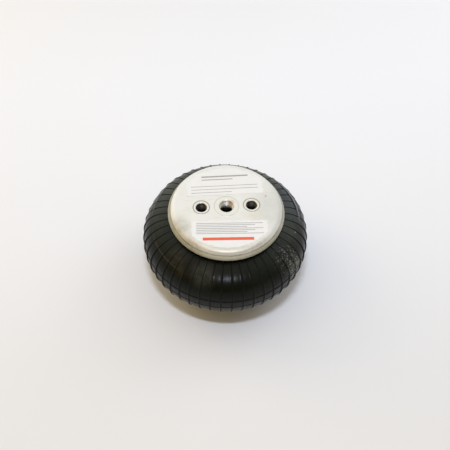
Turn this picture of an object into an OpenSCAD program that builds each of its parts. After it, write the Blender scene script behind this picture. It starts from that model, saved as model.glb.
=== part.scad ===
// Single-convolution air bellows actuator: a fabric-reinforced rubber bellows
// crimped between two pressed steel bead plates. It stands on its lower plate,
// with the middle of that plate's outer face at the origin and +Z up.

/* [Overall] */
// Height over both plates as it stands without air
free_h = 89; // [74:0.5:110]

/* [Bead plates] */
// Thickness of the pressed sheet
plate_t = 2; // [1.5:0.1:2.4]
// Depth of the rim, from the outer face to the underside of the crimp
rim_h = 10.4; // [10:0.1:11]
// How far the rim's wall stands out beyond the neck of the bellows
rim_over = 4.1; // [3.8:0.1:5]
// How far the curled edge stands out beyond the rim's wall
curl_over = 2.4; // [1.8:0.1:2.6]
// Radius where the face turns down into the wall
shoulder_r = 4.5; // [3.5:0.1:4.8]
// Radius of the curled edge
curl_r = 2.6; // [2.2:0.1:2.8]
// Radius of the hollow where the wall meets the curl
hollow_r = 0.8; // [0.4:0.1:1]

/* [Blind nuts] */
// Distance between the two nuts of a plate
nut_pitch = 44.45; // [40:0.05:50]
// Diameter of the threaded hole
nut_hole_d = 9.5; // [8:0.1:11]
// Diameter of the collar that shows in the plate's face
nut_d = 15.8; // [14.5:0.1:17]
// How far the shoulder under the sheet stands out beyond the collar
nut_shoulder_w = 1.2; // [0.8:0.1:1.6]
// Thickness of the shoulder
nut_shoulder_t = 2.4; // [1.5:0.1:3.5]
// Length of a nut, from the plate's face to its closed end
nut_l = 17; // [14:0.5:20]
// Thickness of the closed end
nut_end_t = 2.4; // [1.5:0.1:3.5]

/* [Air port] */
// Diameter of the port's threaded hole
port_hole_d = 12.4; // [10:0.1:15]
// Diameter of the bush that shows in the plate's face
bush_d = 22; // [20:0.1:23]
// How far the shoulder under the sheet stands out beyond the bush
bush_shoulder_w = 0.7; // [0.5:0.1:1]
// Thickness of the shoulder
bush_shoulder_t = 2.4; // [1.5:0.1:3.5]
// Diameter of the bush below its shoulder
bush_tail_d = 18.5; // [17:0.1:20]
// Length of the bush
bush_l = 14; // [11:0.5:18]

/* [Bellows] */
// Diameter of the wall at its widest, without the ribs
bellows_d = 149.6; // [136:0.2:170]
// How far the crown of the convolution lies inside the neck
crown_in = 4.6; // [3.5:0.1:6]
// Height of the neck, from the crown up to the underside of the crimp
neck_rise = 3.1; // [2.8:0.1:6]
// Fullness of the convolution: 2 is an ellipse and more is squarer
roll_n = 2.3; // [2:0.05:2.6]
// Diameter at which the wall turns up into the plate
neck_d = 90.8; // [84:0.1:98]
// Radius of that turn on the outside
neck_fillet = 2.5; // [2:0.1:3]
// Thickness of the outer rubber cover
cover_t = 2; // [1.5:0.1:2.5]
// Thickness of one cord ply
ply_t = 0.9; // [0.6:0.1:1.2]
// Thickness of the airtight inner liner
liner_t = 1.1; // [0.8:0.1:1.5]

/* [Ribs] */
// Number of moulded ribs round the cover
rib_count = 48; // [24:1:60]
// Width of a rib at the widest place
rib_w = 1.2; // [0.8:0.1:1.8]
// Height of a rib above the cover at the widest place
rib_h = 1; // [0.8:0.1:1.3]
// Height of a rib above the cover at the necks
rib_neck_h = 0.4; // [0.3:0.1:0.6]
// Distance between the two girdle lines round the middle
girdle_gap = 8.8; // [6:0.2:12]
// Width of a girdle line
girdle_w = 0.9; // [0.6:0.1:1.4]
// Height of a girdle line above the widest place
girdle_h = 0.3; // [0.2:0.1:0.5]

/* [Beads] */
// Diameter of the bead wire ring's section
wire_d = 2.8; // [2:0.1:3.2]

/* [Hidden] */
// Room between pieces that sit in one another
seat_gap = 0.1;
// Width of the chamfer at a hole's mouth
mouth_c = 0.6;
// How deep a rib's root runs into the cover
rib_root = 0.3;
// Steps along the convolution and along the neck turn, each side of the middle
wall_steps = 10;
neck_steps = 4;
$fn = 96;

// The plate is crimped round the neck, and the convolution reaches from its crown to the widest place
mid_z = free_h / 2;
rim_r = neck_d / 2 + rim_over;
plate_r = rim_r + curl_over;
curl_c = [plate_r - curl_r, curl_r - rim_h];
core_r = neck_d / 2 - crown_in;
roll_w = bellows_d / 2 - core_r;
roll_h = mid_z - rim_h - neck_rise;
steel = "#d9d8d2";
turned = "#b9b8b2";
wire_steel = "#8f8a80";
rubber = "#2b2b28";
cord = "#6b6250";

// A point on the outside of the wall, and the wall's outward normal there:
// q is 0 at the widest place and 90 at the crown of the convolution.
function wall_pt(q) = [core_r + roll_w * pow(cos(q), 2 / roll_n), roll_h * pow(sin(q), 2 / roll_n)];
function wall_slope(q) = [pow(cos(q), 2 - 2 / roll_n) / roll_w, pow(sin(q), 2 - 2 / roll_n) / roll_h];
function wall_normal(q) = wall_slope(q) / norm(wall_slope(q));

// The neck leaves the convolution where the wall reaches the neck diameter
neck_q = acos(pow(crown_in / roll_w, roll_n / 2));
neck_c = wall_pt(neck_q) + neck_fillet * wall_normal(neck_q);
neck_a = atan2(-wall_normal(neck_q)[1], -wall_normal(neck_q)[0]) + 360;
leg_r = neck_c[0] - neck_fillet;
lip_r = leg_r + seat_gap;
channel_r = rim_r - plate_t;

function reversed(list) = [for (i = [len(list) - 1 : -1 : 0]) list[i]];
function mirrored(list) = [for (p = list) [p[0], -p[1]]];

// The stretch of the wall over the convolution, at a depth below its outside
function roll_path(depth) =
    [for (i = [0 : wall_steps]) let (q = neck_q * i / wall_steps) wall_pt(q) - depth * wall_normal(q)];
// The outer edge of a rib, which is highest at the widest place
function rib_path() =
    [for (i = [0 : wall_steps]) let (q = neck_q * i / wall_steps)
        wall_pt(q) + (rib_neck_h + (rib_h - rib_neck_h) * pow(cos(q), 2)) * wall_normal(q)];
// The turn into the plate, and the leg up to the underside of its sheet
function neck_path(depth) = concat(
    [for (i = [1 : neck_steps]) let (t = neck_a + (180 - neck_a) * i / neck_steps)
        neck_c + (neck_fillet + depth) * [cos(t), sin(t)]],
    [[leg_r - depth, mid_z - plate_t]]
);
function both_sides(half) = concat(reversed(mirrored([for (i = [1 : len(half) - 1]) half[i]])), half);
function wall_path(depth) = both_sides(concat(roll_path(depth), neck_path(depth)));

// One layer of the wall, between two depths below the outside of the cover
module wall_layer(outside, inside)
    translate([0, 0, mid_z])
        rotate_extrude()
            polygon(concat(wall_path(outside), reversed(wall_path(inside))));

// A rib along the wall from neck to neck
module wall_rib() {
    rib_angle = rib_w / (bellows_d / 2) * 180 / PI;
    translate([0, 0, mid_z])
        rotate([0, 0, -rib_angle / 2])
            rotate_extrude(angle = rib_angle)
                polygon(concat(both_sides(rib_path()), reversed(both_sides(roll_path(rib_root)))));
}

// A fine raised line round the cover, at a height above the middle
module girdle_line(z)
    translate([0, 0, mid_z + z - girdle_w / 2])
        rotate_extrude()
            translate([bellows_d / 2 - cover_t / 2, 0]) square([cover_t / 2 + girdle_h, girdle_w]);

// Pieces of one end are drawn with the plate's face at z = 0, and then put at either end
module at_top() translate([0, 0, free_h]) children();
module at_bottom() mirror([0, 0, 1]) children();

// Where the curl's upper side leaves the rim's wall
hollow_z = curl_c[1] + sqrt(pow(curl_r, 2) - pow(rim_r - curl_c[0], 2));

// Outline of a plate as if it were solid, from the axis out to the curl
module plate_outline() {
    translate([0, -rim_h]) square([curl_c[0], rim_h - shoulder_r]);
    translate([0, curl_c[1]]) square([rim_r, -shoulder_r - curl_c[1]]);
    translate([0, -shoulder_r]) square([rim_r - shoulder_r, shoulder_r]);
    translate([rim_r - shoulder_r, -shoulder_r]) circle(shoulder_r);
    translate(curl_c) circle(curl_r);
    translate([rim_r, hollow_z])
        difference() {
            square(hollow_r);
            translate([hollow_r, hollow_r]) circle(hollow_r);
        }
}

// The sheet is left where the channel for the bead and the mouth inside the crimp are taken out
module plate_section()
    difference() {
        plate_outline();
        translate([0, plate_t - rim_h]) square([channel_r, rim_h - 2 * plate_t]);
        translate([0, -2 * rim_h]) square([lip_r, rim_h + 2 * plate_t]);
    }

module bead_plate(with_port)
    difference() {
        rotate_extrude() plate_section();
        for (side = [-1, 1])
            translate([side * nut_pitch / 2, 0, -2 * plate_t]) cylinder(h = 3 * plate_t, d = nut_d + seat_gap);
        if (with_port)
            translate([0, 0, -2 * plate_t]) cylinder(h = 3 * plate_t, d = bush_d + seat_gap);
    }

module blind_nut(side)
    translate([side * nut_pitch / 2, 0, 0])
        difference() {
            union() {
                translate([0, 0, -nut_l]) cylinder(h = nut_l, d = nut_d);
                translate([0, 0, -plate_t - nut_shoulder_t])
                    cylinder(h = nut_shoulder_t, d = nut_d + 2 * nut_shoulder_w);
            }
            translate([0, 0, nut_end_t - nut_l]) cylinder(h = nut_l, d = nut_hole_d);
            translate([0, 0, -mouth_c])
                cylinder(h = 2 * mouth_c, d1 = nut_hole_d, d2 = nut_hole_d + 4 * mouth_c);
        }

module port_bush()
    difference() {
        union() {
            translate([0, 0, -plate_t - bush_shoulder_t]) cylinder(h = plate_t + bush_shoulder_t, d = bush_d);
            translate([0, 0, -plate_t - bush_shoulder_t])
                cylinder(h = bush_shoulder_t, d = bush_d + 2 * bush_shoulder_w);
            translate([0, 0, -bush_l]) cylinder(h = bush_l, d = bush_tail_d);
        }
        translate([0, 0, -2 * bush_l]) cylinder(h = 3 * bush_l, d = port_hole_d);
        translate([0, 0, -mouth_c])
            cylinder(h = 2 * mouth_c, d1 = port_hole_d, d2 = port_hole_d + 4 * mouth_c);
    }

// The bead fills the channel between the sheet, the rim, the crimp and the wall's legs
bead_in = lip_r;
bead_out = channel_r - seat_gap;
bead_top = -plate_t - seat_gap;
bead_bottom = plate_t + seat_gap - rim_h;
bead_c = [(bead_in + bead_out) / 2, (bead_top + bead_bottom) / 2];

module bead_section()
    difference() {
        translate([bead_in, bead_bottom]) square([bead_out - bead_in, bead_top - bead_bottom]);
        translate(bead_c) circle(d = wire_d + seat_gap);
    }

module bead_filler() rotate_extrude() bead_section();
module bead_wire() rotate_extrude() translate(bead_c) circle(d = wire_d);

module upper_bead_plate() color(steel) at_top() bead_plate(true);
module lower_bead_plate() color(steel) at_bottom() bead_plate(false);
module air_port_bush() color(turned) at_top() port_bush();
module upper_blind_nut_left() color(turned) at_top() blind_nut(-1);
module upper_blind_nut_right() color(turned) at_top() blind_nut(1);
module lower_blind_nut_left() color(turned) at_bottom() blind_nut(-1);
module lower_blind_nut_right() color(turned) at_bottom() blind_nut(1);
module upper_bead_wire() color(wire_steel) at_top() bead_wire();
module lower_bead_wire() color(wire_steel) at_bottom() bead_wire();
module upper_bead_filler() color(rubber) at_top() bead_filler();
module lower_bead_filler() color(rubber) at_bottom() bead_filler();

module outer_cover()
    color(rubber) {
        wall_layer(0, cover_t);
        for (i = [0 : rib_count - 1]) rotate([0, 0, i * 360 / rib_count]) wall_rib();
        for (side = [-1, 1]) girdle_line(side * girdle_gap / 2);
    }
module outer_ply() color(cord) wall_layer(cover_t, cover_t + ply_t);
module inner_ply() color(cord) wall_layer(cover_t + ply_t, cover_t + 2 * ply_t);
module inner_liner() color(rubber) wall_layer(cover_t + 2 * ply_t, cover_t + 2 * ply_t + liner_t);

upper_bead_plate();
lower_bead_plate();
air_port_bush();
upper_blind_nut_left();
upper_blind_nut_right();
lower_blind_nut_left();
lower_blind_nut_right();
upper_bead_wire();
lower_bead_wire();
upper_bead_filler();
lower_bead_filler();
outer_cover();
outer_ply();
inner_ply();
inner_liner();
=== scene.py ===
import math

import bmesh
import bpy
import numpy as np
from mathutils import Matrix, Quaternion, Vector


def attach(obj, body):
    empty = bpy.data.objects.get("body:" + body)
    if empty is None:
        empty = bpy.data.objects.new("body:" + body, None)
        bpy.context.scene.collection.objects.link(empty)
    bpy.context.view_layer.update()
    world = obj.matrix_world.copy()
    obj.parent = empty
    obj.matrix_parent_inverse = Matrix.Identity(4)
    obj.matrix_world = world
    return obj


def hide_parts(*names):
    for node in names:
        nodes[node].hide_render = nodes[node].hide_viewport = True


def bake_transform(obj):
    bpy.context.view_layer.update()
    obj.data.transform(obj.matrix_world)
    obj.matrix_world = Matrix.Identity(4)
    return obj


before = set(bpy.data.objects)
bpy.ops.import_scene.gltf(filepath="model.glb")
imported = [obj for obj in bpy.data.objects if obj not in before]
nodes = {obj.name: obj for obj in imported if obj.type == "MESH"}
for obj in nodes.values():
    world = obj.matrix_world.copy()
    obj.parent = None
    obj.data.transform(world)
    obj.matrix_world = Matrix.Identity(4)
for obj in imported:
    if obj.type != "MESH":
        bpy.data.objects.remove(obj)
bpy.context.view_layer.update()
mm = 0.001
upperFaceMm = 89.0  # the upper plate's outer face, above the lower one's
middleMm = upperFaceMm / 2  # the widest place, half way between the two
noiseLow, noiseHigh = 0.3, 0.7  # a noise seldom leaves this span
print("loaded", len(nodes), "nodes")


# small helpers for colours, shader nodes and meshes
def linear(hexColour):
    parts = [int(hexColour[i:i + 2], 16) / 255 for i in (1, 3, 5)]
    return [c / 12.92 if c <= 0.04045 else ((c + 0.055) / 1.055) ** 2.4 for c in parts] + [1.0]


def setInputs(tree, node, inputs):
    for key, value in inputs.items():
        if isinstance(value, bpy.types.NodeSocket):
            tree.links.new(value, node.inputs[key])
        else:
            node.inputs[key].default_value = value


def addNode(tree, kind, inputs=None, **settings):
    node = tree.nodes.new(kind)
    for name, value in settings.items():
        setattr(node, name, value)
    setInputs(tree, node, inputs or {})
    return node


def newMaterial(name):
    material = bpy.data.materials.new(name)
    material.use_nodes = True
    tree = material.node_tree
    return material, tree, tree.nodes["Principled BSDF"]


def polar(angleDeg, radiusMm, heightMm):
    angle = math.radians(angleDeg)
    return Vector((radiusMm * math.cos(angle), radiusMm * math.sin(angle), heightMm)) * mm


# shares of a mark's size and of its noise
markLook = {
    "core": 0.2, "grainLow": 0.38, "grainHigh": 0.62, "scratchHalf": 0.022,
    "runScale": 2.2, "runLow": 0.4, "runHigh": 0.55}


def paintMarks(tree, position, colour, marks):
    # each mark is a soft blot round one place, broken up by a noise of its own grain;
    # one with lines has thin scratches instead, in broken runs
    for mark in marks:
        size = mark["sizeMm"] * mm
        grainScale = 1 / (mark["grainMm"] * mm)
        reach = addNode(tree, "ShaderNodeVectorMath", {
            0: position, 1: polar(*mark["at"])}, operation="DISTANCE")
        fade = addNode(tree, "ShaderNodeMapRange", {
            "Value": reach.outputs["Value"], "From Min": size, "From Max": markLook["core"] * size,
            "To Max": mark["strength"]}, interpolation_type="SMOOTHSTEP")
        grain = addNode(tree, "ShaderNodeTexNoise", {
            "Vector": position, "Scale": grainScale, "Detail": 3.0})
        if mark.get("lines"):
            thin = addNode(tree, "ShaderNodeMath", {
                0: grain.outputs[0], 1: 0.5, 2: markLook["scratchHalf"]}, operation="COMPARE")
            runs = addNode(tree, "ShaderNodeTexNoise", {
                "Vector": position, "Scale": markLook["runScale"] * grainScale, "Detail": 2.0})
            gaps = addNode(tree, "ShaderNodeMapRange", {
                "Value": runs.outputs[0],
                "From Min": markLook["runLow"], "From Max": markLook["runHigh"]})
            broken = addNode(tree, "ShaderNodeMath", {
                0: thin.outputs[0], 1: gaps.outputs[0]}, operation="MULTIPLY")
        else:
            broken = addNode(tree, "ShaderNodeMapRange", {
                "Value": grain.outputs[0], "From Min": markLook["grainLow"],
                "From Max": markLook["grainHigh"], "To Min": mark["least"]})
        share = addNode(tree, "ShaderNodeMath", {
            0: fade.outputs[0], 1: broken.outputs[0]}, operation="MULTIPLY")
        colour = addNode(tree, "ShaderNodeMix", {
            0: share.outputs[0], 6: colour, 7: linear(mark["colour"])}, data_type="RGBA").outputs[2]
    return colour


def makeObject(name, verts, faces, sharpDeg):
    mesh = bpy.data.meshes.new(name)
    mesh.from_pydata(verts, [], faces)
    shell = bmesh.new()
    shell.from_mesh(mesh)
    bmesh.ops.recalc_face_normals(shell, faces=shell.faces)
    shell.to_mesh(mesh)
    shell.free()
    mesh.shade_smooth()
    mesh.set_sharp_from_angle(angle=math.radians(sharpDeg))
    obj = bpy.data.objects.new(name, mesh)
    bpy.context.scene.collection.objects.link(obj)
    return obj


def ringFaces(rows, columns, closed):
    faces = []
    for row in range(rows if closed else rows - 1):
        low = row * columns
        high = (row + 1) % rows * columns
        for column in range(columns):
            after = (column + 1) % columns
            faces.append((low + column, low + after, high + after, high + column))
    return faces


def turned(name, rings, columns, closed, sharpDeg=30):
    # rings of (radius, height) in mm; a radius may differ round the ring
    angles = np.linspace(0, 2 * math.pi, columns, endpoint=False)
    verts = []
    for radius, height in rings:
        radius = np.broadcast_to(radius, columns)
        height = np.broadcast_to(height, columns)
        verts += list(zip(radius * np.cos(angles) * mm, radius * np.sin(angles) * mm, height * mm))
    faces = ringFaces(len(rings), columns, closed)
    if not closed:
        faces.append(tuple(range(columns)))
        faces.append(tuple(range((len(rings) - 1) * columns, len(rings) * columns)))
    return makeObject(name, verts, faces, sharpDeg)


# moulded rubber: carbon-black filled, satin charcoal; dust greys what faces up, ribs stay dark
def makeRubber(name, marked):
    look = {
        "clean": "#080c05", "dusty": "#43463e", "rib": "#060705", "ribShare": 0.85,
        "dustMm": 14, "dustLeast": 0.55, "dustFromUp": 0.35, "dustFullUp": 0.95,
        "dustLeanLine": (0.3, 0.95, 0.0), "dustThinMm": -52, "keptMm": 16, "dustThinLeast": 0.12,
        "creaseCoreMm": 10, "grainMm": 1.1, "grainBump": 0.1, "grainDeepMm": 0.1,
        "smoothest": 0.25, "roughest": 0.32, "ribRoughness": 0.62, "ior": 1.52, "gloss": 0.12}
    # one pale line in front on the left; on the pinched fold a painted highlight along the crest and
    # painted shade along the foot; a painted highlight along the slight fold's crest
    creases = [
        dict(at=(208, 65.6, 66.7), reachMm=34, halfMm=0.45, share=0.4, colour="#4a4b46"),
        dict(at=(20, 66.7, 67.1), reachMm=30, halfMm=0.65, share=1.0, colour="#8b8c90"),
        dict(at=(20, 65.2, 68.2), reachMm=30, halfMm=0.45, share=0.9, colour="#0e0f10"),
        dict(at=(154, 66.7, 67.0), reachMm=22, halfMm=0.6, share=0.5, colour="#55575a")]
    marks = [
        dict(at=(326, 60, 70), sizeMm=18, strength=0.5, grainMm=5, least=0.6, colour="#141511"),
        dict(at=(292, 66, 64), sizeMm=22, strength=0.5, grainMm=5, least=0.6, colour="#1e221b"),
        dict(at=(221, 59.6, 71), sizeMm=12, strength=0.3, grainMm=4, least=0.3, colour="#4d4535"),
        # a broad greyish blot in front on the left: dust, and painted sheen where the front highlight
        # spreads
        dict(at=(247, 64, 70), sizeMm=16, strength=0.8, grainMm=5, least=0.5, colour="#3b3b33"),
        dict(at=(229, 66, 66), sizeMm=9, strength=0.25, grainMm=3, least=0.3, colour="#4f4330"),
        # a bluish-grey blot on the right shoulder: dust, and painted bluish light from the right
        dict(at=(18, 60, 71), sizeMm=34, strength=0.5, grainMm=6, least=0.7, colour="#44474e"),
        dict(at=(349, 68, 63), sizeMm=17, strength=0.4, grainMm=5, least=0.6, colour="#1a1b19"),
        dict(at=(319, 66, 66), sizeMm=19, strength=0.85, grainMm=3, lines=True, colour="#7b7a72"),
        dict(at=(322, 74, 54), sizeMm=16, strength=1.0, grainMm=2.4, lines=True, colour="#b3b0a2"),
        dict(at=(322, 74, 54), sizeMm=13, strength=0.4, grainMm=1.5, least=0.0, colour="#6a675a"),
        dict(at=(343, 62.8, 69), sizeMm=1.5, strength=0.9, grainMm=4, least=0.8, colour="#a3a09a"),
        dict(at=(169, 65.6, 66.8), sizeMm=1.6, strength=0.9, grainMm=4, least=0.8, colour="#0c0c0b")]
    material, tree, bsdf = newMaterial(name)
    if marked:
        rest = addNode(tree, "ShaderNodeAttribute", attribute_name="restPlace").outputs["Vector"]
    else:
        rest = addNode(tree, "ShaderNodeTexCoord").outputs["Object"]
    drift = addNode(tree, "ShaderNodeTexNoise", {
        "Vector": rest, "Scale": 1 / (look["dustMm"] * mm), "Detail": 5.0, "Roughness": 0.6})
    normal = addNode(tree, "ShaderNodeNewGeometry").outputs["Normal"]
    facing = addNode(tree, "ShaderNodeSeparateXYZ", {0: normal})
    upward = addNode(tree, "ShaderNodeMapRange", {
        "Value": facing.outputs[2], "From Min": look["dustFromUp"], "From Max": look["dustFullUp"]},
        interpolation_type="SMOOTHSTEP")
    patchy = addNode(tree, "ShaderNodeMapRange", {
        "Value": drift.outputs[0], "From Min": noiseLow, "From Max": noiseHigh,
        "To Min": look["dustLeast"]})
    # dust thins toward the front and left
    depth = addNode(tree, "ShaderNodeVectorMath", {
        0: rest, 1: look["dustLeanLine"]}, operation="DOT_PRODUCT")
    kept = addNode(tree, "ShaderNodeMapRange", {
        "Value": depth.outputs["Value"], "From Min": look["dustThinMm"] * mm,
        "From Max": look["keptMm"] * mm, "To Min": look["dustThinLeast"]},
        interpolation_type="SMOOTHSTEP")
    lying = addNode(tree, "ShaderNodeMath", {
        0: upward.outputs[0], 1: kept.outputs[0]}, operation="MULTIPLY")
    dust = addNode(tree, "ShaderNodeMath", {
        0: lying.outputs[0], 1: patchy.outputs[0]}, operation="MULTIPLY")
    colour = addNode(tree, "ShaderNodeMix", {
        0: dust.outputs[0], 6: linear(look["clean"]), 7: linear(look["dusty"])},
        data_type="RGBA").outputs[2]
    if marked:
        colour = paintMarks(tree, rest, colour, marks)
        # lines run along circles of the shoulder; those on the folds are painted highlight and painted
        # shade
        height = addNode(tree, "ShaderNodeSeparateXYZ", {0: rest}).outputs[2]
        for crease in creases:
            line = addNode(tree, "ShaderNodeMath", {
                0: height, 1: crease["at"][2] * mm, 2: crease["halfMm"] * mm}, operation="COMPARE")
            reach = addNode(tree, "ShaderNodeVectorMath", {
                0: rest, 1: polar(*crease["at"])}, operation="DISTANCE")
            span = addNode(tree, "ShaderNodeMapRange", {
                "Value": reach.outputs["Value"], "From Min": crease["reachMm"] * mm,
                "From Max": look["creaseCoreMm"] * mm, "To Max": crease["share"]})
            drawn = addNode(tree, "ShaderNodeMath", {
                0: line.outputs[0], 1: span.outputs[0]}, operation="MULTIPLY")
            paintedLight = addNode(tree, "ShaderNodeMath", {
                0: drawn.outputs[0], 1: patchy.outputs[0]}, operation="MULTIPLY")
            colour = addNode(tree, "ShaderNodeMix", {
                0: paintedLight.outputs[0], 6: colour, 7: linear(crease["colour"])},
                data_type="RGBA").outputs[2]
        rib = addNode(tree, "ShaderNodeAttribute", attribute_name="ribMask")
        ribShare = addNode(tree, "ShaderNodeMath", {
            0: rib.outputs["Fac"], 1: look["ribShare"]}, operation="MULTIPLY")
        colour = addNode(tree, "ShaderNodeMix", {
            0: ribShare.outputs[0], 6: colour, 7: linear(look["rib"])},
            data_type="RGBA").outputs[2]
    # the mould's grain is finer than this, and drawn coarser to show at all
    grain = addNode(tree, "ShaderNodeTexNoise", {
        "Vector": rest, "Scale": 1 / (look["grainMm"] * mm), "Detail": 3.0})
    bump = addNode(tree, "ShaderNodeBump", {
        "Strength": look["grainBump"], "Distance": look["grainDeepMm"] * mm,
        "Height": grain.outputs[0]})
    satin = addNode(tree, "ShaderNodeMapRange", {
        "Value": drift.outputs[0], "From Min": noiseLow, "From Max": noiseHigh,
        "To Min": look["smoothest"], "To Max": look["roughest"]})
    if marked:
        satin = addNode(tree, "ShaderNodeMapRange", {
            "Value": rib.outputs["Fac"], "To Min": satin.outputs[0],
            "To Max": look["ribRoughness"]})
    setInputs(tree, bsdf, {
        "Base Color": colour, "Roughness": satin.outputs[0], "Normal": bump.outputs[0],
        "IOR": look["ior"], "Specular IOR Level": look["gloss"]})
    return material


# zinc plating: satin and pale, faintly mottled, yellowed and scuffed along the rim; painted shade
# darkens the rim, the front shoulder and the face's right, painted warm light its left
def makeZinc():
    look = {
        "pale": "#faf9f4", "dull": "#f0eee6", "grimeAndShade": "#8f8a72", "rim": "#c2bfae",
        "mottleMm": 9, "scratchMm": 0.35, "scratchTurns": (0.5, 2.1), "scratchDrawn": 0.03,
        "scratchFrom": 0.7, "scratchFull": 0.78, "scratchShare": 0.35,
        "rimMm": 38.5, "rimFadeMm": 3, "rimRougher": 0.18,
        "grooveMm": 39.7, "grooveHalfMm": 0.45, "grooveFull": 0.6, "grooveLeast": 0.2, "grooveMost": 0.65,
        "grainMm": 0.9, "grainBump": 0.12, "grainDeepMm": 0.08, "smoothest": 0.5, "roughest": 0.6}
    marks = [
        dict(at=(228, 51, 82), sizeMm=17, strength=0.5, grainMm=4, least=0.5, colour="#9d967c"),
        dict(at=(205, 50, 84), sizeMm=19, strength=0.65, grainMm=6, least=0.65, colour="#a8a289"),
        dict(at=(300, 51, 82), sizeMm=18, strength=0.35, grainMm=3, least=0.2, colour="#b1a98c"),
        # painted warm light on the left of the face
        dict(at=(188, 39, 89), sizeMm=20, strength=0.15, grainMm=9, least=0.6, colour="#f2eeda"),
        # painted shade on the right of the face
        dict(at=(356, 48, 89), sizeMm=38, strength=0.5, grainMm=12, least=0.8, colour="#d3d2cb"),
        # painted shade over the front shoulder, where the front lamp's highlight falls
        dict(at=(268, 48, 87), sizeMm=30, strength=0.5, grainMm=8, least=0.7, colour="#cdcabd"),
        dict(at=(335, 26, 89), sizeMm=10, strength=0.3, grainMm=5, least=0.5, colour="#e4d6b4"),
        dict(at=(14, 37, 89), sizeMm=1.6, strength=0.6, grainMm=4, least=0.8, colour="#a8a59b"),
        dict(at=(268, 50.9, 80.5), sizeMm=1.3, strength=0.8, grainMm=4, least=0.8, colour="#5f5c50")]
    material, tree, bsdf = newMaterial("zincPlatedSheet")
    place = addNode(tree, "ShaderNodeTexCoord").outputs["Object"]
    mottle = addNode(tree, "ShaderNodeTexNoise", {
        "Vector": place, "Scale": 1 / (look["mottleMm"] * mm), "Detail": 6.0, "Roughness": 0.65})
    colour = addNode(tree, "ShaderNodeMix", {
        0: mottle.outputs[0], 6: linear(look["pale"]), 7: linear(look["dull"])},
        data_type="RGBA").outputs[2]
    # drawn-out noise gives handling scratches in two directions
    scratched = None
    for turn in look["scratchTurns"]:
        along = addNode(tree, "ShaderNodeMapping", {
            "Vector": place, "Rotation": (0.0, 0.0, turn), "Scale": (look["scratchDrawn"], 1.0, 1.0)})
        lines = addNode(tree, "ShaderNodeTexNoise", {
            "Vector": along.outputs[0], "Scale": 1 / (look["scratchMm"] * mm), "Detail": 1.0})
        fine = addNode(tree, "ShaderNodeMapRange", {
            "Value": lines.outputs[0], "From Min": look["scratchFrom"],
            "From Max": look["scratchFull"], "To Max": look["scratchShare"]})
        if scratched:
            fine = addNode(tree, "ShaderNodeMath", {
                0: fine.outputs[0], 1: scratched}, operation="MAXIMUM")
        scratched = fine.outputs[0]
    colour = addNode(tree, "ShaderNodeMix", {
        0: scratched, 6: colour, 7: linear(look["grimeAndShade"])}, data_type="RGBA").outputs[2]
    # the rolled edge of each plate is rougher and darker: dull plating, and painted shade on the
    # turned-down wall
    height = addNode(tree, "ShaderNodeSeparateXYZ", {0: place}).outputs[2]
    offset = addNode(tree, "ShaderNodeMath", {0: height, 1: middleMm * mm}, operation="SUBTRACT")
    away = addNode(tree, "ShaderNodeMath", {0: offset.outputs[0]}, operation="ABSOLUTE")
    rim = addNode(tree, "ShaderNodeMapRange", {
        "Value": away.outputs[0], "From Min": (look["rimMm"] + look["rimFadeMm"]) * mm,
        "From Max": look["rimMm"] * mm}, interpolation_type="SMOOTHSTEP")
    colour = addNode(tree, "ShaderNodeMix", {
        0: rim.outputs[0], 6: colour, 7: linear(look["rim"])}, data_type="RGBA").outputs[2]
    # a dark line lies in the groove above the curled edge: dirt, and painted shade in the groove
    groove = addNode(tree, "ShaderNodeMath", {
        0: away.outputs[0], 1: look["grooveMm"] * mm, 2: look["grooveHalfMm"] * mm},
        operation="COMPARE")
    grooveDirtAndShade = addNode(tree, "ShaderNodeMapRange", {
        "Value": mottle.outputs[0], "From Min": noiseLow, "From Max": look["grooveFull"],
        "To Min": look["grooveLeast"], "To Max": look["grooveMost"]})
    darkLine = addNode(tree, "ShaderNodeMath", {
        0: groove.outputs[0], 1: grooveDirtAndShade.outputs[0]}, operation="MULTIPLY")
    colour = addNode(tree, "ShaderNodeMix", {
        0: darkLine.outputs[0], 6: colour, 7: linear(look["grimeAndShade"])}, data_type="RGBA").outputs[2]
    colour = paintMarks(tree, place, colour, marks)
    # plating grain, drawn coarser than it is to show at all
    grain = addNode(tree, "ShaderNodeTexNoise", {
        "Vector": place, "Scale": 1 / (look["grainMm"] * mm), "Detail": 2.0})
    bump = addNode(tree, "ShaderNodeBump", {
        "Strength": look["grainBump"], "Distance": look["grainDeepMm"] * mm,
        "Height": grain.outputs[0]})
    satin = addNode(tree, "ShaderNodeMapRange", {
        "Value": mottle.outputs[0], "From Min": noiseLow, "From Max": noiseHigh,
        "To Min": look["smoothest"], "To Max": look["roughest"]})
    matted = addNode(tree, "ShaderNodeMath", {
        0: rim.outputs[0], 1: look["rimRougher"], 2: satin.outputs[0]}, operation="MULTIPLY_ADD")
    setInputs(tree, bsdf, {
        "Base Color": colour, "Roughness": matted.outputs[0], "Normal": bump.outputs[0],
        "Metallic": 1.0})
    return material
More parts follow.
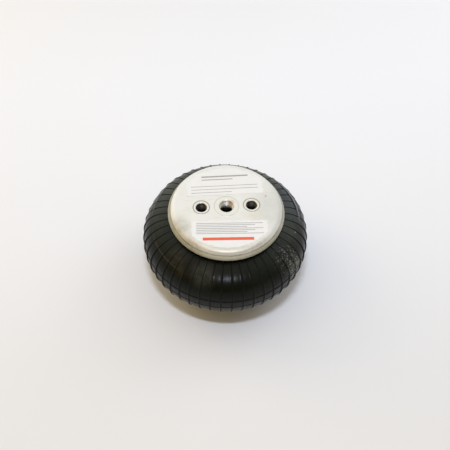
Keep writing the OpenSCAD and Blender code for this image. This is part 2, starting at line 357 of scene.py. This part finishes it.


# turned steel: plated like the sheet, with lathe rings, painted shade deep in the thread, painted
# glints on its crests, and dirt round the hole
def makeSteel(name, boreMm, dirtMm, dirtShare, boreColour, crestColour, stained):
    look = {
        "face": "#f4f1e7", "deep": "#161512", "darkLine": "#55534b", "dirtHalfMm": 0.28,
        "lipOutMm": 0.25, "lipInMm": 0.1, "darkFromMm": -4.5, "darkFullMm": -9,
        "crestFromMm": 0.35, "crestFullMm": 0.65,
        "ringMm": 0.7, "ringBump": 0.1, "ringDeepMm": 0.04, "roughness": 0.5}
    stain = [dict(at=(40, 6.2, -2), sizeMm=4.5, strength=0.7, grainMm=2, least=0.5, colour="#b08d4e")]
    material, tree, bsdf = newMaterial(name)
    place = addNode(tree, "ShaderNodeTexCoord").outputs["Object"]
    flat = addNode(tree, "ShaderNodeVectorMath", {
        0: place, 1: (1.0, 1.0, 0.0)}, operation="MULTIPLY")
    radius = addNode(tree, "ShaderNodeVectorMath", {
        0: flat.outputs[0]}, operation="LENGTH").outputs["Value"]
    inside = addNode(tree, "ShaderNodeMapRange", {
        "Value": radius, "From Min": (boreMm + look["lipOutMm"]) * mm,
        "From Max": (boreMm - look["lipInMm"]) * mm})
    height = addNode(tree, "ShaderNodeSeparateXYZ", {0: place}).outputs[2]
    # painted shade darkens the bore toward its foot
    deep = addNode(tree, "ShaderNodeMapRange", {
        "Value": height, "From Min": look["darkFromMm"] * mm, "From Max": look["darkFullMm"] * mm})
    # painted glints: the crests of the thread are painted brighter
    crest = addNode(tree, "ShaderNodeMapRange", {
        "Value": radius, "From Min": (boreMm - look["crestFromMm"]) * mm,
        "From Max": (boreMm - look["crestFullMm"]) * mm})
    paintedLight = addNode(tree, "ShaderNodeMix", {
        0: crest.outputs[0], 6: linear(boreColour), 7: linear(crestColour)}, data_type="RGBA")
    bore = addNode(tree, "ShaderNodeMix", {
        0: deep.outputs[0], 6: paintedLight.outputs[2], 7: linear(look["deep"])}, data_type="RGBA")
    colour = addNode(tree, "ShaderNodeMix", {
        0: inside.outputs[0], 6: linear(look["face"]), 7: bore.outputs[2]},
        data_type="RGBA").outputs[2]
    # a ring of dirt lies on the flush face, round the hole
    ring = addNode(tree, "ShaderNodeMath", {
        0: radius, 1: dirtMm * mm, 2: look["dirtHalfMm"] * mm}, operation="COMPARE")
    darkLine = addNode(tree, "ShaderNodeMath", {0: ring.outputs[0], 1: dirtShare}, operation="MULTIPLY")
    colour = addNode(tree, "ShaderNodeMix", {
        0: darkLine.outputs[0], 6: colour, 7: linear(look["darkLine"])}, data_type="RGBA").outputs[2]
    if stained:
        colour = paintMarks(tree, place, colour, stain)
    # real lathe rings are about a tenth of this pitch, and drawn coarser
    rings = addNode(tree, "ShaderNodeMath", {
        0: radius, 1: 2 * math.pi / (look["ringMm"] * mm)}, operation="MULTIPLY")
    wave = addNode(tree, "ShaderNodeMath", {0: rings.outputs[0]}, operation="SINE")
    bump = addNode(tree, "ShaderNodeBump", {
        "Strength": look["ringBump"], "Distance": look["ringDeepMm"] * mm,
        "Height": wave.outputs[0]})
    setInputs(tree, bsdf, {
        "Base Color": colour, "Normal": bump.outputs[0], "Metallic": 1.0,
        "Roughness": look["roughness"]})
    return material


# bronzed steel wire: warm brown metal, satin
def makeWire():
    look = {"dark": "#8f7a58", "pale": "#b8a27c", "toneMm": 5, "roughness": 0.4}
    material, tree, bsdf = newMaterial("bronzedWire")
    place = addNode(tree, "ShaderNodeTexCoord").outputs["Object"]
    tone = addNode(tree, "ShaderNodeTexNoise", {
        "Vector": place, "Scale": 1 / (look["toneMm"] * mm), "Detail": 4.0})
    colour = addNode(tree, "ShaderNodeMix", {
        0: tone.outputs[0], 6: linear(look["dark"]), 7: linear(look["pale"])}, data_type="RGBA")
    setInputs(tree, bsdf, {
        "Base Color": colour.outputs[2], "Metallic": 1.0, "Roughness": look["roughness"]})
    return material


# tyre cord: brown textile cords under a skin of rubber, laid at an angle
def makeCord(name, turn):
    look = {
        "cord": "#5d4c36", "rubber": "#1c1b18", "pitchMm": 1.6, "wander": 0.4,
        "cordBump": 0.4, "cordDeepMm": 0.2, "roughness": 0.75}
    bandWidth = 0.314  # of the wave texture, at a scale of 1
    material, tree, bsdf = newMaterial(name)
    place = addNode(tree, "ShaderNodeTexCoord").outputs["Object"]
    laid = addNode(tree, "ShaderNodeMapping", {"Vector": place, "Rotation": (turn, 0.0, turn)})
    cords = addNode(tree, "ShaderNodeTexWave", {
        "Vector": laid.outputs[0], "Scale": bandWidth / (look["pitchMm"] * mm),
        "Distortion": look["wander"]})
    colour = addNode(tree, "ShaderNodeMix", {
        0: cords.outputs["Fac"], 6: linear(look["rubber"]), 7: linear(look["cord"])},
        data_type="RGBA")
    bump = addNode(tree, "ShaderNodeBump", {
        "Strength": look["cordBump"], "Distance": look["cordDeepMm"] * mm,
        "Height": cords.outputs["Fac"]})
    setInputs(tree, bsdf, {
        "Base Color": colour.outputs[2], "Normal": bump.outputs[0], "Roughness": look["roughness"]})
    return material


rubber = makeRubber("mouldedRubber", True)
innerRubber = makeRubber("linerRubber", False)
zinc = makeZinc()
wireSteel = makeWire()
cordOut = makeCord("tyreCordOut", 0.6)
cordIn = makeCord("tyreCordIn", -0.6)
print("rubber, zinc, wire and cord made")


# the bellows wall in mm: half a rounded roll about the middle, a small neck and a straight leg
# in each plate; ribs from plate to plate, two girdle lines, and folds on the shoulder
wall = {
    "core": 40.8, "width": 34.0, "height": 31.0, "power": 2.3, "crownIn": 4.6,
    "neckFillet": 2.5, "legEnd": 42.5, "coverT": 2.0,
    "rollRows": 36, "neckRows": 7, "legRows": 3, "innerRows": 12, "innerNeckRows": 3,
    "ribs": 48, "ribWidth": 1.2, "ribHeight": 1.0, "ribNeckHeight": 0.4, "ribNeckFade": 1.6,
    "panelSteps": 6, "crown": 0.08, "crownFollows": 2, "darkFollows": 2.5,
    "girdle": 4.4, "girdleWidth": 0.9, "girdleHeight": 0.3,
    "fold": 22.2, "foldWidth": 1.4, "foldSteep": 1.6,
    "slackTo": 7.0, "slackSetsIn": 3, "slackRunsOut": 6, "sharpDeg": 60}
folds = [
    {"atDeg": 20, "reachDeg": 30, "height": 0.9, "slack": 0.75, "ribsLost": 0.6},
    {"atDeg": 154, "reachDeg": 22, "height": 0.4, "slack": -0.05, "ribsLost": 0.7}]
lineReach = 0.8  # how far a girdle line or fold reaches to each side, in its widths


def rollRow(angle):
    power = 2 / wall["power"]
    across, upright = math.cos(angle), math.sin(angle)
    place = np.array([
        wall["core"] + wall["width"] * across ** power, wall["height"] * upright ** power])
    slope = np.array([
        across ** (2 - power) / wall["width"], upright ** (2 - power) / wall["height"]])
    return place, slope / np.linalg.norm(slope)


def rollAngles(heights):
    return np.arcsin((heights / wall["height"]) ** (wall["power"] / 2))


def halfWall(depth, angles, neckRows):
    # rows from the middle up to the end of the leg: place, normal, how far the ribs stand
    rows = []
    ribRise = wall["ribHeight"] - wall["ribNeckHeight"]
    for angle in angles:
        place, normal = rollRow(angle)
        ribTop = wall["ribNeckHeight"] + ribRise * math.cos(angle) ** 4
        rows.append((place - depth * normal, normal, ribTop))
    place, normal = rollRow(angles[-1])
    centre = place + wall["neckFillet"] * normal
    start = math.atan2(-normal[1], -normal[0]) + 2 * math.pi
    for step in range(1, neckRows + 1):
        turn = start + (math.pi - start) * step / neckRows
        spoke = np.array([math.cos(turn), math.sin(turn)])
        ribTop = wall["ribNeckHeight"] * max(0.0, 1 - wall["ribNeckFade"] * step / neckRows)
        rows.append((centre + (wall["neckFillet"] + depth) * spoke, -spoke, ribTop))
    leg = centre[0] - wall["neckFillet"] - depth
    for height in np.linspace(centre[1], wall["legEnd"], wall["legRows"] + 1)[1:]:
        rows.append((np.array([leg, height]), np.array([1.0, 0.0]), 0.0))
    return rows


def lineRise(height, crest, width):
    # 1 on the crest of a girdle line or fold, rounded off to 0 at its feet
    away = (height - crest) / (lineReach * width)
    return max(0.0, 1 - away * away)


neckAngle = math.acos((wall["crownIn"] / wall["width"]) ** (wall["power"] / 2))
lineSteps = np.array([-lineReach, -0.5, -0.25, 0, 0.25, 0.5, lineReach])
girdleAngles = rollAngles(wall["girdle"] + wall["girdleWidth"] * lineSteps)
foldAngles = rollAngles(wall["fold"] + wall["foldWidth"] * lineSteps)
lowerAngles = set(np.linspace(0, neckAngle, wall["rollRows"])) | set(girdleAngles)
lowerHalf = halfWall(0.0, sorted(lowerAngles), wall["neckRows"])
upperHalf = halfWall(0.0, sorted(lowerAngles | set(foldAngles)), wall["neckRows"])
inside = halfWall(
    wall["coverT"], np.linspace(0, neckAngle, wall["innerRows"]), wall["innerNeckRows"])

# columns are close together across each rib and wider apart on the panels between
widest = wall["core"] + wall["width"]
ribHalf = wall["ribWidth"] / widest / 2
acrossRib = np.array([-1.35, -1.0, -0.8, -0.5, 0.0, 0.5, 0.8, 1.0, 1.35]) * ribHalf
ribShape = np.array([0.0, 0.12, 0.55, 0.95, 1.0, 0.95, 0.55, 0.12, 0.0])
sector = 2 * math.pi / wall["ribs"]
panel = np.linspace(acrossRib[-1], sector + acrossRib[0], wall["panelSteps"] + 1)[1:-1]
panelShape = np.sin(math.pi * np.linspace(0, 1, wall["panelSteps"] + 1)[1:-1])
oneSector = np.concatenate([acrossRib, panel])
columnAngles = np.concatenate([oneSector + sector * i for i in range(wall["ribs"])])
columnCount = len(columnAngles)
ribLift = np.tile(np.concatenate([ribShape, 0 * panel]), wall["ribs"])
panelLift = np.tile(np.concatenate([0 * acrossRib, panelShape]), wall["ribs"])

# without air the shoulder has two folds behind: one pinched, with slack rubber below, one slight
foldShares = np.zeros((4, columnCount))
for fold in folds:
    turnFrom = (columnAngles - math.radians(fold["atDeg"]) + math.pi) % (2 * math.pi) - math.pi
    turnAway = np.abs(turnFrom) / math.radians(fold["reachDeg"])
    foldReach = np.clip(wall["foldSteep"] * (1 - turnAway), 0, 1)
    foldShares += np.outer([1, fold["height"], fold["slack"], fold["ribsLost"]], foldReach)
pinched, pinchLift, slackLift, ribsLost = foldShares

verts = []
masks = []
flip = np.array([1, -1])
lowerRows = [(place * flip, normal * flip, lift) for place, normal, lift in lowerHalf[1:]]
for place, normal, lift in list(reversed(upperHalf)) + lowerRows:
    girdle = lineRise(abs(place[1]), wall["girdle"], wall["girdleWidth"])
    pinch = lineRise(place[1], wall["fold"], wall["foldWidth"])
    setIn = (wall["fold"] - place[1]) / wall["slackSetsIn"]
    runOut = (place[1] - wall["slackTo"]) / wall["slackRunsOut"]
    below = np.clip(min(setIn, runOut), 0, 1)
    ridge = np.maximum(ribLift * lift, girdle * wall["girdleHeight"])
    ridge = np.maximum(ridge, pinch * pinchLift)
    ridge = ridge * (1 - below * ribsLost) + below * slackLift
    stand = ridge + panelLift * wall["crown"] * min(1.0, lift * wall["crownFollows"])
    radius = (place[0] + normal[0] * stand) * mm
    height = (middleMm + place[1] + normal[1] * stand) * mm
    verts += list(zip(radius * np.cos(columnAngles), radius * np.sin(columnAngles), height))
    dark = np.maximum(ribLift * min(1.0, lift * wall["darkFollows"]), girdle)
    masks += list(dark * (1 - pinch * pinched) * (1 - below * ribsLost))
innerPlaces = [place for place, normal, lift in inside]
for place in [place * flip for place in reversed(innerPlaces)] + innerPlaces[1:]:
    radius = place[0] * mm
    height = np.full(columnCount, (middleMm + place[1]) * mm)
    verts += list(zip(radius * np.cos(columnAngles), radius * np.sin(columnAngles), height))
    masks += [0.0] * columnCount
coverFaces = ringFaces(len(verts) // columnCount, columnCount, True)
cover = makeObject("bellowsCover", verts, coverFaces, wall["sharpDeg"])
ribMask = cover.data.attributes.new("ribMask", "FLOAT", "POINT")
ribMask.data.foreach_set("value", np.array(masks, dtype=np.float32))
restPlace = cover.data.attributes.new("restPlace", "FLOAT_VECTOR", "POINT")
restPlace.data.foreach_set("vector", np.array(verts, dtype=np.float32).ravel())
cover.data.materials.append(rubber)
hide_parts("outer_cover")

# the layers under the cover keep their shape, and all four stretch from plate to plate
layers = [cover]
for nodeName, material, slot in (
        ("outer_ply", cordOut, "cord_ply"),
        ("inner_ply", cordIn, "cord_ply"),
        ("inner_liner", innerRubber, "bellows_rubber")):
    layer = bpy.data.objects.new(nodeName + "Skin", nodes[nodeName].data.copy())
    bpy.context.scene.collection.objects.link(layer)
    layer.data.materials.clear()
    layer.data.materials.append(material)
    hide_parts(nodeName)
    layers.append(layer)
for layer in layers:
    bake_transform(layer)
print("bellows made:", len(verts), "points")

# nuts and bush sit in the plate alike, in mm, and their threads have one form
seat = {"plateT": 2.0, "under": 4.4, "mouth": 0.6}
threadForm = {"ringsPerPitch": 10, "rootFlat": 0.12, "flankWide": 0.7}


def flushRings(piece):
    # from the tail up round the shoulder under the plate to the flush face and the hole's mouth
    return [
        (piece["tail"] - piece["chamfer"], -piece["length"]),
        (piece["tail"], piece["chamfer"] - piece["length"]),
        (piece["tail"], -seat["under"]), (piece["shoulder"], -seat["under"]),
        (piece["shoulder"], -seat["plateT"]), (piece["radius"], -seat["plateT"]),
        (piece["radius"], -piece["edge"]), (piece["radius"] - piece["edge"], 0.0),
        (piece["hole"] + seat["mouth"], 0.0)]


def threadRings(piece, end):
    # right-hand thread standing in from the hole's wall, running out at both ends
    top = -seat["mouth"]
    angles = np.linspace(0, 1, piece["columns"], endpoint=False)
    count = int((top - end) / piece["pitch"] * threadForm["ringsPerPitch"])
    rings = []
    for height in np.linspace(top, end, count):
        phase = (height / piece["pitch"] - angles) % 1
        slope = 1 - np.abs(2 * phase - 1)
        flank = np.clip((slope - threadForm["rootFlat"]) / threadForm["flankWide"], 0, 1)
        ends = np.clip(min(top - height, height - end) / piece["pitch"], 0, 1)
        rings.append((piece["hole"] - piece["thread"] * flank * ends, height))
    return rings


# blind nuts, in mm: a collar flush in the plate, a shoulder under it, a threaded blind hole
nut = {
    "radius": 7.9, "tail": 7.9, "shoulder": 9.1, "length": 17.0, "chamfer": 0.5, "edge": 0.15,
    "hole": 4.75, "holeEnd": 14.6, "holeTaper": 0.6, "thread": 0.72, "pitch": 1.5875,
    "threadStop": 0.3, "spacing": 44.45, "columns": 72}
# the nuts' blind holes are painted dark, with grey crests: painted shade and glints
nutSteel = makeSteel(
    "turnedNutSteel", nut["hole"], dirtMm=7.15, dirtShare=0.85,
    boreColour="#232220", crestColour="#7d7b74", stained=False)
nutRings = flushRings(nut) + threadRings(nut, nut["threadStop"] - nut["holeEnd"])
nutRings.append((nut["hole"] - nut["holeTaper"], -nut["holeEnd"]))
for end, faceMm in (("upper", upperFaceMm), ("lower", 0.0)):
    for side, sign in (("left", -1), ("right", 1)):
        piece = turned(end + "BlindNut" + side.title(), nutRings, nut["columns"], False)
        piece.data.materials.append(nutSteel)
        piece.location = (sign * nut["spacing"] / 2 * mm, 0, faceMm * mm)
        if end == "lower":
            piece.rotation_euler = (math.pi, 0, 0)
        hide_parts(end + "_blind_nut_" + side)
        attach(piece, end + "_end")

# air port bush, in mm: a wider flush ring with a pipe thread right through
bush = {
    "radius": 11.0, "tail": 9.25, "shoulder": 11.7, "length": 14.0, "chamfer": 0.4, "edge": 0.2,
    "hole": 6.2, "thread": 0.75, "pitch": 1.411, "columns": 96}
# the bush's open bore is painted pale, with near-white crests: painted light and glints
bushSteel = makeSteel(
    "turnedBushSteel", bush["hole"], dirtMm=10.7, dirtShare=0.1,
    boreColour="#d2cfc6", crestColour="#f4f2ea", stained=True)
bushRings = flushRings(bush) + threadRings(bush, -bush["length"])
airPort = turned("airPortBush", bushRings, bush["columns"], True)
airPort.data.materials.append(bushSteel)
airPort.location = (0, 0, upperFaceMm * mm)
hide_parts("air_port_bush")
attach(airPort, "upper_end")
print("nuts and port made")

# plates, bead wires and fillers keep their shape
for nodeName, material in (
        ("upper_bead_plate", zinc), ("lower_bead_plate", zinc),
        ("upper_bead_wire", wireSteel), ("lower_bead_wire", wireSteel),
        ("upper_bead_filler", innerRubber), ("lower_bead_filler", innerRubber)):
    nodes[nodeName].data.materials.clear()
    nodes[nodeName].data.materials.append(material)


# label film: coated paper, white and slightly glossy, printed with plain rules and a stripe
def makeLabel(name, label):
    look = {
        "paper": "#ebeae6", "aged": "#e4e2db", "toneMm": 6, "ink": "#70706f", "inkShare": 0.7,
        "stripe": "#e0562a", "stripeShare": 0.95, "roughness": 0.45, "ior": 1.5}
    material, tree, bsdf = newMaterial(name)
    place = addNode(tree, "ShaderNodeTexCoord").outputs["Object"]
    axes = addNode(tree, "ShaderNodeSeparateXYZ", {0: place})
    tone = addNode(tree, "ShaderNodeTexNoise", {
        "Vector": place, "Scale": 1 / (look["toneMm"] * mm), "Detail": 4.0})
    colour = addNode(tree, "ShaderNodeMix", {
        0: tone.outputs[0], 6: linear(look["paper"]), 7: linear(look["aged"])},
        data_type="RGBA").outputs[2]
    bars = [(rule, look["ink"], look["inkShare"]) for rule in label["rules"]]
    bars += [(stripe, look["stripe"], look["stripeShare"]) for stripe in label["stripes"]]
    for (left, right, height, half), ink, strength in bars:
        middle = addNode(tree, "ShaderNodeMath", {
            0: axes.outputs[0], 1: (left + right) / 2 * mm, 2: (right - left) / 2 * mm},
            operation="COMPARE")
        level = addNode(tree, "ShaderNodeMath", {
            0: axes.outputs[1], 1: height * mm, 2: half * mm}, operation="COMPARE")
        both = addNode(tree, "ShaderNodeMath", {
            0: middle.outputs[0], 1: level.outputs[0]}, operation="MULTIPLY")
        share = addNode(tree, "ShaderNodeMath", {
            0: both.outputs[0], 1: strength}, operation="MULTIPLY")
        colour = addNode(tree, "ShaderNodeMix", {
            0: share.outputs[0], 6: colour, 7: linear(ink)}, data_type="RGBA").outputs[2]
    setInputs(tree, bsdf, {
        "Base Color": colour, "Roughness": look["roughness"], "IOR": look["ior"]})
    return material


film = {"thick": 0.08, "arcSteps": 40, "sharpDeg": 30}


def labelPiece(name, label, material):
    # a circle's segment with upright sides, a film thick, lying on the plate
    left, right, chord, reach = label["left"], label["right"], label["chord"], label["reach"]
    side = math.copysign(1, chord)
    outline = [(left, chord), (right, chord)]
    for turn in np.linspace(math.acos(right / reach), math.acos(left / reach), film["arcSteps"]):
        outline.append((reach * math.cos(turn), side * reach * math.sin(turn)))
    count = len(outline)
    levels = (upperFaceMm, upperFaceMm + film["thick"])
    points = [(x * mm, y * mm, z * mm) for z in levels for x, y in outline]
    faces = [tuple(range(count)), tuple(range(count, 2 * count))]
    for i in range(count):
        j = (i + 1) % count
        faces.append((i, j, count + j, count + i))
    piece = makeObject(name, points, faces, film["sharpDeg"])
    piece.data.materials.append(material)
    piece.rotation_euler = (0, 0, math.radians(label["askewDeg"]))
    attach(piece, "upper_end")


# rules and stripes in mm: left end, right end, height on the plate, half thickness
upperLabel = {
    "left": -34, "right": 34, "chord": 13, "reach": 43.5, "askewDeg": 0.0, "stripes": [],
    "rules": [
        (-20, 22, 34, 0.8), (-20, 8, 30.5, 0.5),
        (-30, 30, 23, 0.3), (-30, 30, 19.5, 0.3), (-30, 6, 16, 0.3)]}
lowerLabel = {
    "left": -31, "right": 35, "chord": -16, "reach": 44.4, "askewDeg": -2.6,
    "stripes": [(-21.6, 22.4, -35, 1.5)],
    "rules": [(-27, 31 - 7 * (i % 3), -18.6 - 1.8 * i, 0.32) for i in range(7)]}
labelPiece("upperLabel", upperLabel, makeLabel("labelFilmUpper", upperLabel))
labelPiece("lowerLabel", lowerLabel, makeLabel("labelFilmLower", lowerLabel))
print("labels made")

# pale matte floor, a little greyer and warmer toward the front, which is painted shade in front of the
# part; sizes in metres
ground = {
    "half": 6, "level": -0.0001, "front": "#e7e5e1", "frontAt": -0.2,
    "behind": "#f2f4f8", "behindAt": 0.25, "roughness": 0.7}
corners = [(x * ground["half"], y * ground["half"], ground["level"])
           for x, y in ((-1, -1), (1, -1), (1, 1), (-1, 1))]
floorMesh = bpy.data.meshes.new("floor")
floorMesh.from_pydata(corners, [], [(0, 1, 2, 3)])
floor = bpy.data.objects.new("floor", floorMesh)
bpy.context.scene.collection.objects.link(floor)
floorMaterial, tree, bsdf = newMaterial("paleFloor")
floorPlace = addNode(tree, "ShaderNodeTexCoord").outputs["Object"]
floorAxes = addNode(tree, "ShaderNodeSeparateXYZ", {0: floorPlace})
floorShare = addNode(tree, "ShaderNodeMapRange", {
    "Value": floorAxes.outputs[1], "From Min": ground["frontAt"], "From Max": ground["behindAt"]})
floorTone = addNode(tree, "ShaderNodeMix", {
    0: floorShare.outputs[0], 6: linear(ground["front"]), 7: linear(ground["behind"])},
    data_type="RGBA")
setInputs(tree, bsdf, {"Base Color": floorTone.outputs[2], "Roughness": ground["roughness"]})
floorMesh.materials.append(floorMaterial)

# studio: a pale sky, warm in front on the left and cool behind on the right
studio = {
    "front": 0.26, "frontAt": -0.75, "back": 1.1, "backAt": 0.2, "top": 1.05, "topFrom": 0.82,
    "warm": "#fbd06c", "warmAt": -0.9, "cool": "#eef1f4", "coolAt": 0.3, "tintLine": (0.45, 0.85, 0.0),
    "left": 1.15, "right": 0.88, "sideAt": 0.6, "fill": 0.72, "backdrop": "#f6f6f6"}
world = bpy.data.worlds.new("studio")
world.use_nodes = True
bpy.context.scene.world = world
tree = world.node_tree
direction = addNode(tree, "ShaderNodeTexCoord").outputs["Generated"]
axes = addNode(tree, "ShaderNodeSeparateXYZ", {0: direction})
horizon = addNode(tree, "ShaderNodeMapRange", {
    "Value": axes.outputs[1], "From Min": studio["frontAt"], "From Max": studio["backAt"],
    "To Min": studio["front"], "To Max": studio["back"]}, interpolation_type="SMOOTHSTEP")
level = addNode(tree, "ShaderNodeMapRange", {
    "Value": axes.outputs[2], "From Min": studio["topFrom"], "From Max": 1.0,
    "To Min": horizon.outputs[0], "To Max": studio["top"]}, interpolation_type="SMOOTHSTEP")
across = addNode(tree, "ShaderNodeVectorMath", {
    0: direction, 1: studio["tintLine"]}, operation="DOT_PRODUCT")
cooler = addNode(tree, "ShaderNodeMapRange", {
    "Value": across.outputs["Value"], "From Min": studio["warmAt"], "From Max": studio["coolAt"]})
tint = addNode(tree, "ShaderNodeMix", {
    0: cooler.outputs[0], 6: linear(studio["warm"]), 7: linear(studio["cool"])}, data_type="RGBA")
# reflections see the sky in full, less of it lights matt surfaces, the camera sees a white backdrop
path = addNode(tree, "ShaderNodeLightPath")
mirrored = addNode(tree, "ShaderNodeMath", {
    0: path.outputs["Is Glossy Ray"], 1: path.outputs["Is Transmission Ray"]}, operation="MAXIMUM")
fill = addNode(tree, "ShaderNodeMapRange", {"Value": mirrored.outputs[0], "To Min": studio["fill"]})
even = addNode(tree, "ShaderNodeMath", {
    0: level.outputs[0], 1: fill.outputs[0]}, operation="MULTIPLY")
lean = addNode(tree, "ShaderNodeMapRange", {
    "Value": axes.outputs[0], "From Min": -studio["sideAt"], "From Max": studio["sideAt"],
    "To Min": studio["left"], "To Max": studio["right"]})
strength = addNode(tree, "ShaderNodeMath", {
    0: even.outputs[0], 1: lean.outputs[0]}, operation="MULTIPLY")
shown = addNode(tree, "ShaderNodeMix", {
    0: path.outputs["Is Camera Ray"], 2: strength.outputs[0], 3: 1.0})
hue = addNode(tree, "ShaderNodeMix", {
    0: path.outputs["Is Camera Ray"], 6: tint.outputs[2], 7: linear(studio["backdrop"])},
    data_type="RGBA")
setInputs(tree, tree.nodes["Background"], {"Strength": shown.outputs[0], "Color": hue.outputs[2]})

# a small lamp for the shadow, two wide ones beside the part, one that shows only in its gloss
lamps = (
    dict(name="topLamp", at=(-65, -265, 1200), wide=0.2, deep=0.06, watts=6.8, colour="#e0eaff"),
    dict(name="leftLamp", at=(-850, 550, 600), wide=0.7, deep=0.7, watts=3.1, colour="#f8e2b0"),
    dict(name="rightLamp", at=(850, 550, 600), wide=0.7, deep=0.7, watts=3.0, colour="#f2f6ff"),
    dict(name="frontLamp", at=(0, -800, 1000), wide=0.16, deep=0.16, watts=5.0, colour="#e4edff"))
partMiddle = Vector((0, 0, middleMm))
for lamp in lamps:
    light = bpy.data.lights.new(lamp["name"], "AREA")
    light.shape = "RECTANGLE"
    light.size = lamp["wide"]
    light.size_y = lamp["deep"]
    light.energy = lamp["watts"]
    light.color = linear(lamp["colour"])[:3]
    lampObject = bpy.data.objects.new(lamp["name"], light)
    lampObject.location = Vector(lamp["at"]) * mm
    lampAim = partMiddle - Vector(lamp["at"])
    lampObject.rotation_euler = lampAim.to_track_quat("-Z", "Y").to_euler()
    lampObject.visible_glossy = lamp["name"] == "frontLamp"
    lampObject.visible_diffuse = lamp["name"] != "frontLamp"
    bpy.context.scene.collection.objects.link(lampObject)

# camera where the photograph was taken from: angles in degrees, lengths in mm
view = {
    "azimuth": -6.81, "elevation": 54.98, "distance": 697.0, "aimRight": -0.59, "aimUp": 9.32,
    "roll": 2.51, "lens": 60, "sensor": 36, "clipStart": 10}
azimuth = math.radians(view["azimuth"])
elevation = math.radians(view["elevation"])
back = Vector((
    math.sin(azimuth) * math.cos(elevation),
    -math.cos(azimuth) * math.cos(elevation),
    math.sin(elevation)))
right = Vector((math.cos(azimuth), math.sin(azimuth), 0))
up = right.cross(-back)
eye = partMiddle + view["distance"] * back
aim = partMiddle + view["aimRight"] * right + view["aimUp"] * up
roll = Quaternion((0, 0, 1), math.radians(view["roll"]))
cameraData = bpy.data.cameras.new("camera")
cameraData.lens = view["lens"]
cameraData.sensor_width = view["sensor"]
cameraData.clip_start = view["clipStart"] * mm
camera = bpy.data.objects.new("camera", cameraData)
camera.location = eye * mm
camera.rotation_mode = "QUATERNION"
camera.rotation_quaternion = (aim - eye).to_track_quat("-Z", "Y") @ roll
bpy.context.scene.collection.objects.link(camera)
bpy.context.scene.camera = camera
bpy.context.scene.view_settings.view_transform = "Standard"
print("stage set")
